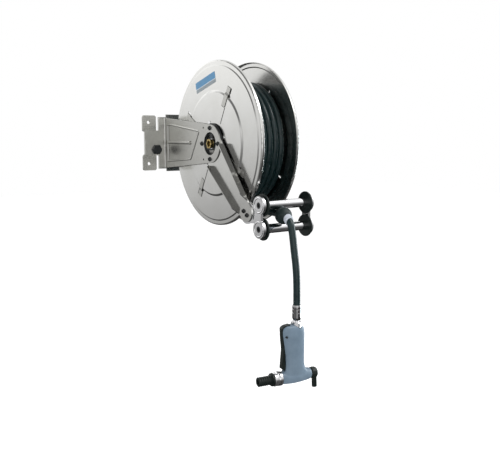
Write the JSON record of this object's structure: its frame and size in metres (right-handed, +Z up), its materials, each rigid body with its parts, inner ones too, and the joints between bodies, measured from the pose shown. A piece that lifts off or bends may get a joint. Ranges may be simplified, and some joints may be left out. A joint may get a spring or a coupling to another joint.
{
  "type": "hose reel",
  "caption": "Stainless wall-mounted spring-rewind hose reel on one bracket, with a roller guide, a ball stop and a trigger spray gun hanging on the hose.",
  "frame": {"origin": "centre of the four wall bolt holes, on the wall face", "axes": "+Z up, +Y into the wall, +X along the reel axis from the bracket side to the free side"},
  "size_m": [0.334, 0.6798, 0.931],
  "materials": {
    "stainless_sheet": "brushed stainless sheet, softly grained",
    "polished_steel": "polished stainless",
    "black_plastic": "matt black moulded plastic",
    "black_steel": "blackened steel",
    "brass": "plain machined brass",
    "hose_rubber": "smooth dark rubber",
    "black_rubber": "matt black rubber",
    "grey_rubber": "blue-grey soft cover",
    "grey_plastic": "satin light-grey plastic",
    "label_film": "printed film, blue over silver",
    "bronze": "sintered bronze"
  },
  "bodies": {
    "frame": {"wall_plate": "stainless_sheet", "bracket_arm": "stainless_sheet", "lock_bolt": "black_steel", "hub_bolts": "black_steel", "guide_arm": "stainless_sheet", "guide_link": "stainless_sheet", "guide_bolts": "black_steel", "near_end_plate": "polished_steel", "far_end_plate": "polished_steel", "roller_shafts": "polished_steel", "shaft_screws": "black_steel", "hub_flange": "black_steel", "axle": "polished_steel", "inlet_socket": "brass", "axle_clips": "black_steel", "spring_arbor": "stainless_sheet", "axle_nut": "polished_steel", "pawl_pin": "polished_steel", "hanging_hose": "hose_rubber", "stop_upper_half": "black_rubber", "stop_lower_half": "black_rubber", "stop_sleeve": "grey_plastic", "hose_ferrule": "polished_steel", "swivel_stem": "polished_steel"},
    "drum": {"near_disc": "stainless_sheet", "far_disc": "stainless_sheet", "near_disc_tabs": "stainless_sheet", "far_disc_tabs": "stainless_sheet", "drum_core": "stainless_sheet", "near_hub": "stainless_sheet", "far_hub": "stainless_sheet", "hub_bearings": "bronze", "hub_screws": "polished_steel", "ratchet_ring": "polished_steel", "spring_case": "stainless_sheet", "spring_cover": "stainless_sheet", "rewind_spring": "black_steel", "swivel_rotor": "brass", "swivel_seals": "black_rubber", "outlet_pipe": "brass", "wound_hose": "hose_rubber", "label_plate": "label_film"},
    "pawl": {"pawl": "black_steel"},
    "upper_roller": {"upper_roller_tube": "polished_steel", "upper_roller_discs": "black_plastic", "upper_roller_bushes": "bronze"},
    "lower_roller": {"lower_roller_tube": "polished_steel", "lower_roller_discs": "black_plastic", "lower_roller_bushes": "bronze"},
    "gun": {"gun_front_shell": "grey_rubber", "gun_back_shell": "grey_rubber", "valve_body": "brass", "swivel_nut": "polished_steel", "trigger_pin": "polished_steel", "coupling_socket": "polished_steel", "nozzle": "black_plastic"},
    "trigger": {"trigger": "black_plastic"},
    "valve_stem": {"valve_stem": "polished_steel"},
    "regulator_knob": {"regulator_knob": "black_plastic"},
    "coupling_sleeve": {"coupling_sleeve": "polished_steel"}
  },
  "joints": [
    {"name": "drum_spin", "type": "hinge", "parent": "frame", "child": "drum", "pos_m": [0, -0.303, 0], "axis": [1, 0, 0], "continuous": true, "deforming": ["rewind_spring"]},
    {"name": "pawl_lift", "type": "hinge", "parent": "frame", "child": "pawl", "pos_m": [-0.066, -0.33964, -0.00515], "axis": [-1, 0, 0], "range_deg": [0, 13], "stiffness_Nm_per_rad": 0.02, "springref_deg": -11.46},
    {"name": "upper_roller_spin", "type": "hinge", "parent": "frame", "child": "upper_roller", "pos_m": [0, -0.565, -0.1667], "axis": [1, 0, 0], "continuous": true},
    {"name": "lower_roller_spin", "type": "hinge", "parent": "frame", "child": "lower_roller", "pos_m": [0, -0.565, -0.2333], "axis": [1, 0, 0], "continuous": true},
    {"name": "gun_swivel", "type": "hinge", "parent": "frame", "child": "gun", "pos_m": [-0.02, -0.655, -0.495], "axis": [0, 0, 1], "continuous": true},
    {"name": "trigger_pull", "type": "hinge", "parent": "gun", "child": "trigger", "pos_m": [-0.05961, -0.64943, -0.519], "axis": [-0.1392, -0.9903, 0], "range_deg": [0, 6], "stiffness_Nm_per_rad": 2, "springref_deg": -5.73},
    {"name": "valve_stem_slide", "type": "slide", "parent": "gun", "child": "valve_stem", "axis": [0.9903, -0.1392, 0], "range_m": [0, 0.006]},
    {"name": "regulator_turn", "type": "hinge", "parent": "gun", "child": "regulator_knob", "pos_m": [0.03942, -0.66335, -0.638], "axis": [0.9903, -0.1392, 0], "range_deg": [-90, 90]},
    {"name": "coupling_sleeve_slide", "type": "slide", "parent": "gun", "child": "coupling_sleeve", "axis": [0.9903, -0.1392, 0], "range_m": [0, 0.004], "stiffness_N_per_m": 600, "springref_m": -0.003}
  ],
  "couplings": [
    {"joint": "valve_stem_slide", "follows": "trigger_pull", "m_per_rad": 0.053}
  ]
}
